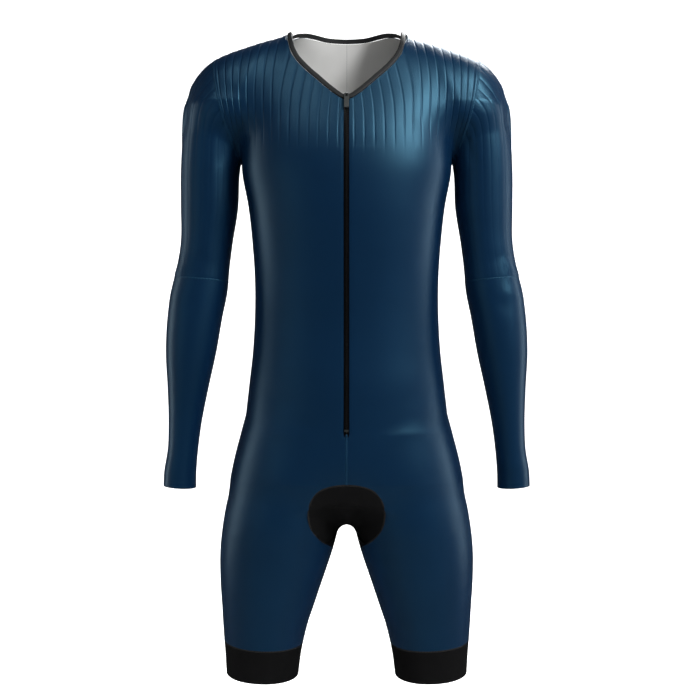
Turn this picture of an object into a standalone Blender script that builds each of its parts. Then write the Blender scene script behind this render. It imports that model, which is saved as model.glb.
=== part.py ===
"""Long-sleeved cycling skinsuit, filled out as if worn, with nobody inside.

Metres. +X is the wearer's left, -Y the front, +Z up. The origin is the middle of the neck
opening, level with the points where the neckline crosses the shoulders.

Every panel is a wall on one smooth surface, the general figure, which is a soft union of
tubes through short tables of sections. The left half is worked out and the right half is its
mirror image.
"""

import math
from collections import namedtuple

import bmesh
import bpy
import numpy as np
from mathutils import Matrix

MM = 0.001
FRONT = -1
BACK = 1

# Cloth and seams
CLOTH = 1.6 * MM                # wall thickness
SEAM = 0.3 * MM                 # space between two pieces
RIB_DEPTH = 0.7 * MM            # ribs stand this high over the grooves between them
RIB_FADE_ROWS = 4               # rows of the chest over which the ribs fade in
SLEEVE_RIB_FADE = 0.92          # from row to row down the upper sleeve
SHARP = math.radians(40)

# Figure: sections from the top down
TORSO = MM * np.array((
    # height, half width, front depth, back depth
    (60, 58, 36, 74),
    (13, 66, 42, 78),
    (-30, 100, 56, 87),
    (-75, 134, 74, 95),
    (-120, 151, 94, 101),
    (-165, 156, 108, 105),
    (-204, 156, 113, 106),
    (-258, 146.5, 112, 101),
    (-312, 140.5, 106, 92),
    (-366, 137, 99, 84),
    (-420, 137, 95, 81),
    (-474, 140, 95, 85),
    (-528, 146, 98, 96),
    (-582, 151, 98, 106),
    (-636, 148, 96, 114),
    (-690, 142, 84, 112),
))
SHOULDER = MM * np.array((
    # across, top height, front depth, back depth
    (0, 6, 66, 84),
    (60, 4, 66, 82),
    (89, -3, 66, 78),
    (120, -10.2, 65, 72),
    (150, -19.8, 63, 66),
    (175, -28.5, 60, 61),
    (200, -40.5, 51, 51),
    (218, -56, 39, 39),
    (230, -74, 25, 25),
    (236, -92, 12, 12),
))
ARM = MM * np.array((
    # height, middle across, half width, front depth, back depth
    (-110, 186, 48, 52, 54),
    (-150, 197, 47, 50, 52),
    (-204, 204.2, 43.8, 46, 49),
    (-258, 205.6, 42.5, 42, 47),
    (-312, 210, 38.5, 38, 45),
    (-348, 215.2, 39.2, 37, 46),
    (-384, 221.2, 42, 38, 46),
    (-420, 227.2, 40.8, 39, 43),
    (-474, 233.2, 37.4, 38, 37),
    (-528, 237.7, 30.2, 34, 29),
    (-582, 242.2, 24.2, 30, 22),
    (-618, 245.2, 22.5, 29, 19),
    (-654, 249.4, 23.8, 30, 19),
    (-690, 250, 24.2, 31, 19),
))
LEG = MM * np.array((
    # height, middle across, half width, front depth, back depth
    (-590, 74, 62, 70, 78),
    (-640, 81, 78, 83, 97),
    (-690, 89.3, 87.7, 90, 104),
    (-732, 98, 87, 90, 100),
    (-762, 103.5, 84.8, 86, 95),
    (-816, 112.5, 75.8, 79, 86),
    (-852, 117.4, 68.6, 74, 79),
    (-888, 122.2, 61.6, 69, 73),
    (-924, 124.6, 56.4, 65, 68),
    (-962, 126, 53, 62, 64),
))
TORSO_POWER = 2.35              # 2 is an ellipse; more is squarer
LIMB_POWER = 2.1
SHOULDER_MIDDLE = -112 * MM     # height of the middle of the shoulder sections
SHOULDER_LOWER = 52 * MM        # their reach below it
PELVIS_CENTRE = MM * np.array((0, 12, -640))
PELVIS_RADII = MM * np.array((150, 98, 92))

# Joins of the tubes: how softly the valley is filled, and how that grows with height
TORSO_BLEND = 30 * MM
ARMPIT = -190 * MM
ARMPIT_ACROSS = 157.5 * MM
ARMPIT_BLEND = (5 * MM, 30 * MM)
CROTCH = -732 * MM
CROTCH_BLEND = (12 * MM, 40 * MM)
BLEND_GAIN = 0.4
REACH = 0.3                     # longest ray from inside the figure to its surface

# Seams
CHEST_RING = -192 * MM          # under the arms, where the upright ribs of points begin
NECK_EDGE = MM * np.array((
    # across, height: the front neckline seam, from the zip to the shoulder
    (0, -118),
    (8, -115),
    (16, -109.5),
    (30.5, -97),
    (45, -83),
    (59.5, -69),
    (71.5, -54.7),
    (80.5, -39),
    (85.5, -22),
    (88, -2),
))
BACK_NECK_EDGE = MM * np.array((
    # the back neckline seam, from the middle to the shoulder
    (0, 10.3),
    (30, 10.6),
    (50, 11.2),
    (62, 9.5),
    (75, 5),
    (84, 1),
    (88, -2),
))
NECK_SIDE = 88 * MM             # the neckline crosses the shoulder seam here
SHOULDER_END = 196 * MM         # the shoulder seam meets the armhole here
RIB_BOW = 7 * MM                # the ribs bow out this far below the shoulder
ZIP_SLIT = 3.9 * MM             # half the space between the fronts along the zip
ZIP_END = -590 * MM
ELBOW = -369 * MM
CUFF = -677 * MM
FOREARM_TILT = math.radians(4.5)
INSERT_SIDE = (-652 * MM, -752 * MM)        # side seam heights of the insert's first and last row
HIP_HEIGHTS = (-640 * MM, -618 * MM, -597 * MM)     # rows between the insert and the zip
BAND_TOP = (-907.5 * MM, -901.5 * MM)       # heights of a seam's inner and outer point
BAND_HEM = (-955 * MM, -950 * MM)

SLEEVE_CUTS = np.array((
    # height of the underarm point in millimetres, tilt of the cut in degrees
    (-193.5, 63),
    (-198, 51),
    (-205, 40),
    (-214, 30),
    (-227, 22),
    (-245, 15),
    (-268, 10),
    (-294, 7),
    (-320, 5.5),
    (-345, 4.5),
    (-369, 4.5),
))
INSERT_AXIS = MM * np.array((0, 0, -640))
INSERT_EDGE = np.array((
    # share of a quarter, half width in millimetres, turn down from the front in degrees
    (0.000, 0, 13.0),
    (0.125, 20, 14.0),
    (0.250, 37, 17.5),
    (0.375, 48, 24.0),
    (0.500, 54, 35.0),
    (0.625, 51, 47.0),
    (0.750, 41, 56.0),
    (0.875, 30, 66.0),
    (1.000, 20.5, 90.0),
))

# Neckline binding: distance into the opening from the seam, and height over the cloth's face
BINDING_SECTION = MM * np.array((
    (0.8, -1.6),
    (0.8, 0.2),
    (1.6, 0.7),
    (6.4, 0.7),
    (7.8, 0.1),
    (7.8, -1.6),
))

# Zip
TAPE_WIDTH = 9.5 * MM
TAPE_THICKNESS = 0.9 * MM
TAPE_CLEARANCE = 0.5 * MM       # behind the fronts
TAPE_TOP = -107 * MM
TAPE_END = -595 * MM
CHAIN_HALF = 2.6 * MM
CHAIN_RISE = 0.6 * MM           # over the face of the cloth
CHAIN_TOP = -117.8 * MM
CHAIN_END = -583 * MM
STOP_HALF = 3 * MM
STOP_LENGTH = 3 * MM
STOP_RISE = 1 * MM
SLIDER_MIDDLE = -112.2 * MM
SLIDER_LENGTH = 10 * MM
SLIDER_HALF = 3.4 * MM
SLIDER_RISE = 2.2 * MM
SLIDER_EDGE = 1.5 * MM          # its sloped ends
FLANK = 0.8 * MM                # its rounded flanks
FLANK_SCALE = 0.82
HINGE_RISE = 3.15 * MM          # the pull tab's axis, over the cloth's face
HINGE_UP = 1 * MM               # and above the slider's middle
BRIDGE_INSIDE = 1.15 * MM       # radius under the bridge
BRIDGE_THICKNESS = 0.9 * MM
BRIDGE_HALF = 1.1 * MM
PULL_LENGTH = 22 * MM
PULL_HALF = 3.4 * MM
PULL_THICKNESS = 1.2 * MM
PULL_ROUNDING = 0.2 * MM
WINDOW_HALF = 1.8 * MM
WINDOW_HEIGHT = 3 * MM

# Numbers of points
PANEL_COLUMNS = 10
TORSO_ROWS = 14
LEG_ROWS = 5
FAN_ROWS = 12
NECK_COLUMNS = {FRONT: 14, BACK: 6}         # from the middle to the side of the neck
SHOULDER_COLUMNS = {FRONT: 16, BACK: 6}     # from there to the armhole; 2 to a rib in front
NECKLINE_STEP = 0.09            # longest share of the neckline between two points
SLEEVE_COLUMNS = 2 * FAN_ROWS   # half ribs on each side of the upper sleeve
FOREARM_COLUMNS = 8
FOREARM_ROWS = 9
INSERT_SEGMENTS = 8             # along a quarter of the insert's edge

Row = namedtuple("Row", "places points")    # places run from 0 to 1 along the row

UP = np.array((0.0, 0.0, 1.0))
ACROSS = np.array((1.0, 0.0, 0.0))
FORWARD = np.array((0.0, -1.0, 0.0))


# ---------------------------------------------------------------- the general figure

def section_at(table, at):
    """The other columns of a table at values of its first, on smooth curves."""
    rows = table if table[0, 0] < table[-1, 0] else table[::-1]
    knots = rows[:, 0]
    slopes = np.gradient(rows[:, 1:], knots, axis=0)
    at = np.clip(at, knots[0], knots[-1])
    low = np.clip(np.searchsorted(knots, at) - 1, 0, len(knots) - 2)
    step = (knots[low + 1] - knots[low])[..., None]
    t = (at - knots[low])[..., None] / step
    rise = rows[low + 1, 1:] - rows[low, 1:]
    start, end = slopes[low] * step, slopes[low + 1] * step
    curve = rows[low, 1:] + t * (start + t * (3 * rise - 2 * start - end))
    curve += t ** 3 * (start + end - 2 * rise)
    return np.moveaxis(curve, -1, 0)


def outside_section(across, along, half_width, half_depth, power):
    """Distance outside a rounded section, straight out from its middle."""
    reach = np.hypot(across, along)
    ratio = (np.abs(across) / half_width) ** power + (np.abs(along) / half_depth) ** power
    ratio = np.maximum(ratio, 1e-9) ** (1 / power)
    return reach - reach / ratio


def soft_union(a, b, blend):
    """The smaller distance, with the valley where they meet filled in."""
    lap = np.maximum(blend - np.abs(a - b), 0)
    return np.minimum(a, b) - lap * lap / (4 * blend)


def torso(x, y, z):
    half_width, front, back = section_at(TORSO, z)
    distance = outside_section(x, y, half_width, np.where(y < 0, front, back), TORSO_POWER)
    return np.maximum(distance, TORSO[-1, 0] - z)


def shoulder(x, y, z):
    top, front, back = section_at(SHOULDER, x)
    rise = z - SHOULDER_MIDDLE
    reach = np.where(rise > 0, top - SHOULDER_MIDDLE, SHOULDER_LOWER)
    distance = outside_section(y, rise, np.where(y < 0, front, back), reach, LIMB_POWER)
    return np.maximum(distance, x - SHOULDER[-1, 0])


def limb(table, x, y, z):
    middle, half_width, front, back = section_at(table, z)
    depth = np.where(y < 0, front, back)
    distance = outside_section(x - middle, y, half_width, depth, LIMB_POWER)
    return distance + np.maximum(z - table[0, 0], 0)


def pelvis(x, y, z):
    scaled = (np.stack((x, y, z), axis=-1) - PELVIS_CENTRE) / PELVIS_RADII
    return (np.linalg.norm(scaled, axis=-1) - 1) * PELVIS_RADII[2]


def blend_at(z, join, limits):
    return np.clip(limits[0] + BLEND_GAIN * (z - join), *limits)


def shoulders(x, y, z):
    """Chest, back, shoulders and upper arms in one."""
    trunk = soft_union(torso(x, y, z), shoulder(x, y, z), TORSO_BLEND)
    return soft_union(trunk, limb(ARM, x, y, z), blend_at(z, ARMPIT, ARMPIT_BLEND))


def body(points):
    """Distance outside the torso and legs; under the armpits the arms don't count."""
    x, y, z = np.abs(points[..., 0]), points[..., 1], points[..., 2]
    hips = soft_union(torso(x, y, z), pelvis(x, y, z), TORSO_BLEND)
    legs = soft_union(hips, limb(LEG, x, y, z), blend_at(z, CROTCH, CROTCH_BLEND))
    return np.where(z > CHEST_RING, shoulders(x, y, z), legs)


def chest(points):
    """Distance outside the chest and shoulders, cut off at the chest ring."""
    x, y, z = np.abs(points[..., 0]), points[..., 1], points[..., 2]
    return np.maximum(shoulders(x, y, z), CHEST_RING - z)


def arms(points):
    """Distance outside the shoulders and arms; under the armpits the torso doesn't count."""
    x, y, z = np.abs(points[..., 0]), points[..., 1], points[..., 2]
    return np.where(z > CHEST_RING, shoulders(x, y, z), limb(ARM, x, y, z))


def cast(surface, starts, directions):
    """Where rays from inside the figure first leave it."""
    starts, directions = np.broadcast_arrays(starts, directions)
    steps = np.linspace(0, REACH, 31)
    trial = starts[..., None, :] + steps[:, None] * directions[..., None, :]
    outside = surface(trial) > 0
    outside[..., -1] = True
    first = np.argmax(outside, axis=-1)
    near, far = steps[first - 1], steps[first]
    for _ in range(14):
        middle = (near + far) / 2
        outside = surface(starts + middle[..., None] * directions) > 0
        near, far = np.where(outside, near, middle), np.where(outside, middle, far)
    return starts + near[..., None] * directions


def normals(surface, points):
    step = 0.5 * MM
    slope = [surface(points + step * axis) - surface(points - step * axis) for axis in np.eye(3)]
    slope = np.stack(slope, axis=-1)
    return slope / np.linalg.norm(slope, axis=-1, keepdims=True)


# ---------------------------------------------------------------- curves on the figure

def even(points, count):
    """Places from 0 to 1 along a line of points that divide its length evenly."""
    lengths = np.linalg.norm(np.diff(points, axis=0), axis=1)
    run = np.concatenate(((0,), np.cumsum(lengths)))
    return np.interp(np.linspace(0, run[-1], count + 1), run, np.linspace(0, 1, len(points)))


def cut_row(surface, start, end, side, count, bow=0.0):
    """Even points from one seam point to another, round the front or the back.

    They lie in the cut that holds both points and runs from front to back, apart from a bow
    that swells across it.
    """
    along = (end - start) * (1, 0, 1)
    along = along / np.linalg.norm(along)
    out = -side * FORWARD
    centre = (start + end) / 2 * (1, 0, 1)
    turns = [math.atan2(np.dot(point - centre, out), np.dot(point - centre, along))
             for point in (start, end)]
    turns[0] %= 2 * math.pi

    def at(shares):
        turn = (turns[0] + (turns[1] - turns[0]) * shares)[:, None]
        swell = bow * np.sin(math.pi * shares)[:, None] * ACROSS
        return cast(surface, centre + swell, np.cos(turn) * along + np.sin(turn) * out)

    return at(even(at(np.linspace(0, 1, 25)), count))


def side_point(height):
    """On the side seam."""
    return cast(body, np.array((100 * MM, 0, height)), ACROSS)


def inseam_point(height):
    middle = section_at(LEG, np.array(height))[0]
    return cast(body, np.array((middle, 0, height)), -ACROSS)


def centre_point(height, side):
    """On the edge along the zip, the centre-front seam or the centre-back seam."""
    slit = ZIP_SLIT if side == FRONT and height > ZIP_END - SEAM else 0
    return cast(body, np.array((slit, 0, height)), -side * FORWARD)


def insert_point(across, turn):
    turn = math.radians(turn)
    start = INSERT_AXIS + across * ACROSS
    return cast(body, start, math.cos(turn) * FORWARD - math.sin(turn) * UP)


def insert_edge_point(share, side):
    """On the insert's edge, from the middle of the front or seat to the inner leg."""
    half_width, turn = section_at(INSERT_EDGE, np.array(share))
    return insert_point(half_width * MM, turn if side == FRONT else 180 - turn)


def shoulder_point(across):
    """On the shoulder seam."""
    return cast(body, across * ACROSS + SHOULDER_MIDDLE * UP, UP)


def neck_points(across, side):
    """On the neckline seam."""
    height = section_at(NECK_EDGE if side == FRONT else BACK_NECK_EDGE, across)[0]
    middle = across[:, None] * ACROSS + SHOULDER_MIDDLE * UP
    highest = cast(body, middle, UP)[:, 2] - SEAM
    start = across[:, None] * ACROSS + np.minimum(height, highest)[:, None] * UP
    return cast(body, start, -side * FORWARD)


def neckline(side):
    """Column numbers, some of them between columns, and points of the neckline seam."""
    columns = NECK_COLUMNS[side]
    start = ZIP_SLIT if side == FRONT else 0
    trial = np.linspace(start, NECK_SIDE - SEAM, 60)
    line = np.append(neck_points(trial, side), [shoulder_point(NECK_SIDE)], axis=0)
    run = np.cumsum(np.linalg.norm(np.diff(line, axis=0, prepend=line[:1]), axis=1))
    run /= run[-1]
    marks = np.linspace(0, 1, columns + 1)
    if side == FRONT:
        marks = np.interp(np.linspace(start, NECK_SIDE, columns + 1), line[:, 0], run)
    numbers, shares = [0.0], [0.0]
    for column in range(columns):
        gap = marks[column + 1] - marks[column]
        parts = math.ceil(gap / NECKLINE_STEP)
        numbers += [column + (part + 1) / parts for part in range(parts)]
        shares += [marks[column] + gap * (part + 1) / parts for part in range(parts)]
    points = np.stack([np.interp(shares, run, line[:, axis]) for axis in range(3)], axis=-1)
    return numbers, points


def armhole_ends():
    """Top of the armhole seam, and its lowest point under the arm."""
    above = np.array((ARMPIT_ACROSS, 0, SHOULDER_MIDDLE))
    return shoulder_point(SHOULDER_END), cast(chest, above, -UP)


def armhole(side, count):
    """The armhole seam, from under the arm to the shoulder."""
    top, bottom = armhole_ends()
    return cut_row(chest, bottom, top, side, count, RIB_BOW)


# ---------------------------------------------------------------- rows of the panels

def plain_row(points):
    return Row(np.linspace(0, 1, len(points)), points)


def lower_rows(side):
    """Rows of a front or back panel, from the leg band up to the chest ring."""
    shares = np.linspace(0, 1, LEG_ROWS + 1)[:-1, None]
    start, end = np.array(BAND_TOP), np.array((insert_edge_point(1, side)[2], INSERT_SIDE[1]))
    ends = [(inseam_point(inner), side_point(outer))
            for inner, outer in start + shares * (end - start)]
    for share in np.linspace(1, 0, INSERT_SEGMENTS + 1):
        height = INSERT_SIDE[0] + share * (INSERT_SIDE[1] - INSERT_SIDE[0])
        ends.append((insert_edge_point(share, side), side_point(height)))
    heights = HIP_HEIGHTS + tuple(np.linspace(ZIP_END, CHEST_RING, TORSO_ROWS + 1))
    ends += [(centre_point(height, side), side_point(height)) for height in heights]
    rows = [cut_row(body, inner, outer, side, PANEL_COLUMNS) for inner, outer in ends]
    rows[-1][-1] = armhole_ends()[1]
    return [plain_row(points) for points in rows]


def fan_rows(side):
    """Rows from above the chest ring to the neckline and shoulder seam."""
    necks, total = NECK_COLUMNS[side], NECK_COLUMNS[side] + SHOULDER_COLUMNS[side]
    starts = cut_row(body, centre_point(CHEST_RING, side), side_point(CHEST_RING), side, total)
    numbers, neck = neckline(side)
    shoulder_seam = np.array([shoulder_point(across) for across in
                              np.linspace(NECK_SIDE, SHOULDER_END, total - necks + 1)])
    ends = [neck[numbers.index(column)] for column in range(necks)] + list(shoulder_seam)
    columns = []
    for column, (start, end) in enumerate(zip(starts[:-1], ends[:-1])):
        bow = RIB_BOW * min(1, column / necks)
        columns.append(cut_row(chest, start, end, side, FAN_ROWS, bow))
    columns.append(armhole(side, FAN_ROWS))
    rows = [plain_row(points) for points in np.stack(columns, axis=1)[1:-1]]
    places = np.array(numbers + list(range(necks + 1, total + 1))) / total
    return rows + [Row(places, np.concatenate((neck, shoulder_seam[1:])))]


def ring(surface, inner, outer, count, bow=0.0):
    """Closed ring of a sleeve or leg, from the inner point by the front to the outer."""
    front, back = (cut_row(surface, inner, outer, side, count, bow) for side in (FRONT, BACK))
    return closed_row(front, back)


def closed_row(front, back):
    points = np.concatenate((front[:-1], back[:0:-1]))
    return Row(np.arange(len(points)) / len(points), points)


def sleeve_ring(height, tilt, count, bow=0.0):
    middle = section_at(ARM, np.array(height))[0]
    inner = cast(arms, np.array((middle, 0, height)), -ACROSS)
    along = math.cos(tilt) * ACROSS + math.sin(tilt) * UP
    outer = cast(arms, inner + 20 * MM * along, along)
    return ring(arms, inner, outer, count, bow)


def upper_sleeve_rows():
    seams = [armhole(side, FAN_ROWS) for side in (FRONT, BACK)]
    halves = [np.insert(seam, np.arange(1, len(seam)), (seam[1:] + seam[:-1]) / 2, axis=0)
              for seam in seams]
    rows = [closed_row(*halves)]
    for number, (height, tilt) in enumerate(SLEEVE_CUTS, start=1):
        bow = RIB_BOW * max(0, 1 - number / 4)
        rows.append(sleeve_ring(height * MM, math.radians(tilt), SLEEVE_COLUMNS, bow))
    return rows


def forearm_rows():
    return [sleeve_ring(height, FOREARM_TILT, FOREARM_COLUMNS)
            for height in np.linspace(ELBOW, CUFF, FOREARM_ROWS + 1)]


def band_rows():
    ends = zip(np.linspace(BAND_TOP[0], BAND_HEM[0], 3), np.linspace(BAND_TOP[1], BAND_HEM[1], 3))
    return [ring(body, inseam_point(inner), side_point(outer), PANEL_COLUMNS)
            for inner, outer in ends]


def insert_rows():
    """Closed rings of the insert, from its edge in to its middle."""
    quarter = np.linspace(0, 1, INSERT_SEGMENTS + 1)
    edge = [section_at(INSERT_EDGE, np.array(share)) for share in quarter]
    front = [(width, turn - 90) for width, turn in edge]
    back = [(width, -turn) for width, turn in front[::-1]][1:]
    half = front + back
    outline = np.array(half + [(-width, turn) for width, turn in half[-2:0:-1]])
    rows = []
    for rings in range(INSERT_SEGMENTS // 2, 0, -1):
        count = rings * 8
        share = rings / (INSERT_SEGMENTS // 2)
        marks = np.arange(count) / count * len(outline)
        looped = np.concatenate((outline, outline[:1]))
        flat = [np.interp(marks, np.arange(len(looped)), looped[:, axis]) * share
                for axis in (0, 1)]
        points = [insert_point(width * MM, 90 + turn) for width, turn in zip(*flat)]
        rows.append(Row(np.arange(count) / count, np.array(points)))
    return rows


# ---------------------------------------------------------------- walls

def pulled_in(points, toward):
    """A line of edge points moved half a seam's space towards the points beside them."""
    tangents = np.gradient(points, axis=0)
    tangents /= np.linalg.norm(tangents, axis=1, keepdims=True)
    inward = toward - points
    inward -= np.sum(inward * tangents, axis=1, keepdims=True) * tangents
    inward /= np.linalg.norm(inward, axis=1, keepdims=True)
    return points + inward * SEAM / 2


def beside(row, other):
    """Points of the other row at the places of this one."""
    return np.stack([np.interp(row.places, other.places, other.points[:, axis])
                     for axis in range(3)], axis=-1)


def trimmed(rows):
    """A panel's rows with all four edges pulled in."""
    rows = list(rows)
    for edge, next_row in ((0, 1), (-1, -2)):
        row = rows[edge]
        rows[edge] = Row(row.places, pulled_in(row.points, beside(row, rows[next_row])))
    for edge, next_column in ((0, 1), (-1, -2)):
        line = pulled_in(np.array([row.points[edge] for row in rows]),
                         np.array([row.points[next_column] for row in rows]))
        for row, point in zip(rows, line):
            row.points[edge] = point
    return rows


def trimmed_tube(rows, ends=(0, -1), space=SEAM / 2):
    """A tube's closed rows with its seamed ends pulled in by a space."""
    rows = list(rows)
    for edge in ends:
        row, other = rows[edge], rows[1 if edge == 0 else -2]
        looped = Row(np.append(other.places, 1), np.append(other.points, other.points[:1], axis=0))
        inward = beside(row, looped) - row.points
        inward /= np.linalg.norm(inward, axis=1, keepdims=True)
        rows[edge] = Row(row.places, row.points + inward * space)
    return rows


def sunk(surface, rows, depths):
    """Rows moved in along the surface's normals, each by its own depth or depths."""
    moved = []
    for row, depth in zip(rows, depths):
        depth = np.broadcast_to(depth, len(row.places))[:, None]
        moved.append(Row(row.places, row.points - normals(surface, row.points) * depth))
    return moved


def thinned(row, columns):
    """Every second column of a row and the points between columns, for the plain inside."""
    numbers = row.places * columns
    between = np.abs(numbers - np.round(numbers)) > 1e-6
    keep = between | (np.round(numbers) % 2 == 0)
    return Row(row.places[keep], row.points[keep])


def add_row(mesh, row):
    return [mesh.verts.new(point) for point in row.points]


def bridge(mesh, places_a, row_a, places_b, row_b, closed):
    """Faces between two rows, whose points need not be equal in number."""
    if closed:
        places_a, row_a = np.append(places_a, 1), row_a + row_a[:1]
        places_b, row_b = np.append(places_b, 1), row_b + row_b[:1]
    a = b = 0
    while a < len(row_a) - 1 or b < len(row_b) - 1:
        next_a = places_a[a + 1] if a < len(row_a) - 1 else math.inf
        next_b = places_b[b + 1] if b < len(row_b) - 1 else math.inf
        corners = [row_a[a], row_b[b]]
        if next_b <= next_a + 1e-6:
            b += 1
            corners.append(row_b[b])
        if next_a <= next_b + 1e-6:
            a += 1
            corners.append(row_a[a])
        mesh.faces.new(corners)


def wall(outer, inner, closed=False, capped=False):
    """Closed solid between two lists of rows, one for each face of the cloth."""
    mesh = bmesh.new()
    sheets = [[add_row(mesh, row) for row in rows] for rows in (outer, inner)]
    for rows, sheet in zip((outer, inner), sheets):
        for number in range(len(rows) - 1):
            bridge(mesh, rows[number].places, sheet[number],
                   rows[number + 1].places, sheet[number + 1], closed)
        if capped:
            mesh.faces.new(sheet[-1])
    for end in (0,) if capped else (0, -1):
        bridge(mesh, outer[end].places, sheets[0][end], inner[end].places, sheets[1][end], closed)
    if not closed:
        for number in range(len(outer) - 1):
            for edge in (0, -1):
                mesh.faces.new([sheets[0][number][edge], sheets[0][number + 1][edge],
                                sheets[1][number + 1][edge], sheets[1][number][edge]])
    return mesh


def loft(sections):
    """Closed solid through a list of sections with equal numbers of points."""
    mesh = bmesh.new()
    loops = [[mesh.verts.new(point) for point in section] for section in sections]
    for loop, following in zip(loops, loops[1:]):
        for number in range(len(loop)):
            after = (number + 1) % len(loop)
            mesh.faces.new((loop[number], loop[after], following[after], following[number]))
    mesh.faces.new(loops[0])
    mesh.faces.new(loops[-1])
    return mesh


# ---------------------------------------------------------------- objects

def finish(name, colour, roughness, metallic=0.0):
    material = bpy.data.materials.new(name)
    material.use_nodes = True
    shader = material.node_tree.nodes["Principled BSDF"]
    shader.inputs["Base Color"].default_value = (*colour, 1)
    shader.inputs["Roughness"].default_value = roughness
    shader.inputs["Metallic"].default_value = metallic
    return material


def add_object(name, mesh, material, mirrored=False):
    bmesh.ops.transform(mesh, matrix=Matrix.Diagonal((-1 if mirrored else 1, 1, 1, 1)),
                        verts=mesh.verts)
    bmesh.ops.recalc_face_normals(mesh, faces=mesh.faces)
    data = bpy.data.meshes.new(name)
    mesh.to_mesh(data)
    data.shade_smooth()
    data.set_sharp_from_angle(angle=SHARP)
    data.materials.append(material)
    part = bpy.data.objects.new(name, data)
    bpy.context.collection.objects.link(part)
    return part


def add_pair(name, mesh, material):
    for suffix, mirrored in (("left", False), ("right", True)):
        add_object(f"{name}_{suffix}", mesh.copy(), material, mirrored)
    mesh.free()


def rib_depths(row, columns, strength):
    return RIB_DEPTH * strength * np.sin(math.pi / 2 * row.places * columns) ** 2


def make_panels(cloth):
    for name, side in (("front", FRONT), ("back", BACK)):
        columns = NECK_COLUMNS[side] + SHOULDER_COLUMNS[side]
        lower, fan = lower_rows(side), fan_rows(side)
        rows = trimmed(lower + fan)
        ribbed = 1 if side == FRONT else 0
        depths = [0] * len(lower)
        for number, row in enumerate(rows[len(lower):], start=1):
            depths.append(rib_depths(row, columns, ribbed * min(1, number / RIB_FADE_ROWS)))
        inner = rows[:len(lower)]
        inner += [thinned(row, columns) if ribbed else row for row in rows[len(lower):]]
        mesh = wall(sunk(body, rows, depths), sunk(body, inner, [CLOTH] * len(inner)))
        add_pair(name, mesh, cloth)


def make_sleeves(ribbed, plain):
    rows = trimmed_tube(upper_sleeve_rows())
    columns = 2 * SLEEVE_COLUMNS
    depths = [rib_depths(row, columns, SLEEVE_RIB_FADE ** number)
              for number, row in enumerate(rows)]
    inner = [thinned(row, columns) for row in rows]
    mesh = wall(sunk(arms, rows, depths), sunk(arms, inner, [CLOTH] * len(rows)), closed=True)
    add_pair("sleeve_upper", mesh, ribbed)
    rows = trimmed_tube(forearm_rows(), ends=(0,))
    mesh = wall(rows, sunk(arms, rows, [CLOTH] * len(rows)), closed=True)
    add_pair("sleeve_lower", mesh, plain)


def make_bands(cloth):
    rows = trimmed_tube(band_rows(), ends=(0,))
    mesh = wall(rows, sunk(body, rows, [CLOTH] * len(rows)), closed=True)
    add_pair("leg_band", mesh, cloth)


def make_insert(cloth):
    rows = trimmed_tube(insert_rows(), ends=(0,), space=SEAM)
    mesh = wall(rows, sunk(body, rows, [CLOTH] * len(rows)), closed=True, capped=True)
    add_object("crotch_insert", mesh, cloth)


def on_surface(points):
    """Points near the surface moved onto it."""
    for _ in range(3):
        points = points - normals(body, points) * body(points)[:, None]
    return points


def make_binding(cloth):
    """Band along the neckline seam, from one side of the zip round the back to the other."""
    front, back = neckline(FRONT)[1], neckline(BACK)[1]
    seam = np.concatenate((front, back[-2::-1]))
    tangents = np.gradient(seam, axis=0)
    tangents /= np.linalg.norm(tangents, axis=1, keepdims=True)
    facing = normals(body, seam)
    opening = np.cross(facing, tangents)
    opening *= np.sign(np.sum(opening * (UP - ACROSS), axis=1, keepdims=True))
    columns = []
    for across, height in BINDING_SECTION:
        line = on_surface(seam + opening * across)
        if across > BINDING_SECTION[0, 0]:
            line[0] = on_surface(seam[:1] + UP * across / abs(tangents[0, 0]))
        columns.append(line + normals(body, line) * height)
    sections = np.stack(columns, axis=1)
    sections[0, :, 0] = ZIP_SLIT + SEAM
    sections[-1, :, 0] = 0
    mirror = sections[-2::-1] * (-1, 1, 1)
    add_object("neck_binding", loft(np.concatenate((sections, mirror))), cloth)


def zip_section(height, left, right, outer, inner):
    """Upright section across the zip, between two depths under the cloth's face."""
    points = []
    for across, depth in ((left, outer), (right, outer), (right, inner), (left, inner)):
        point = cast(body, np.array((across, 0, height)), FORWARD)
        points.append(point - normals(body, point) * depth)
    return points


def make_zip(tape, plastic):
    """Two tapes behind the fronts, the closed chain between them, and the bottom stop."""
    edge = [row.points[0, 2] for row in lower_rows(FRONT) + fan_rows(FRONT)]
    heights = [height for height in edge if CHAIN_END + SEAM < height < CHAIN_TOP - SEAM]
    back = CLOTH + TAPE_CLEARANCE
    sections = [zip_section(height, SEAM / 2, TAPE_WIDTH, back, back + TAPE_THICKNESS)
                for height in [TAPE_END, ZIP_END, *heights, CHAIN_TOP, TAPE_TOP]]
    add_pair("zip_tape", loft(sections), tape)
    sections = [zip_section(height, -CHAIN_HALF, CHAIN_HALF, -CHAIN_RISE, CLOTH)
                for height in [CHAIN_END, *heights, CHAIN_TOP]]
    add_object("zip_chain", loft(sections), plastic)
    top = CHAIN_END - SEAM
    sections = [zip_section(height, -STOP_HALF, STOP_HALF, -STOP_RISE, CLOTH)
                for height in (top - STOP_LENGTH, top)]
    add_object("zip_stop", loft(sections), plastic)


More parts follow.
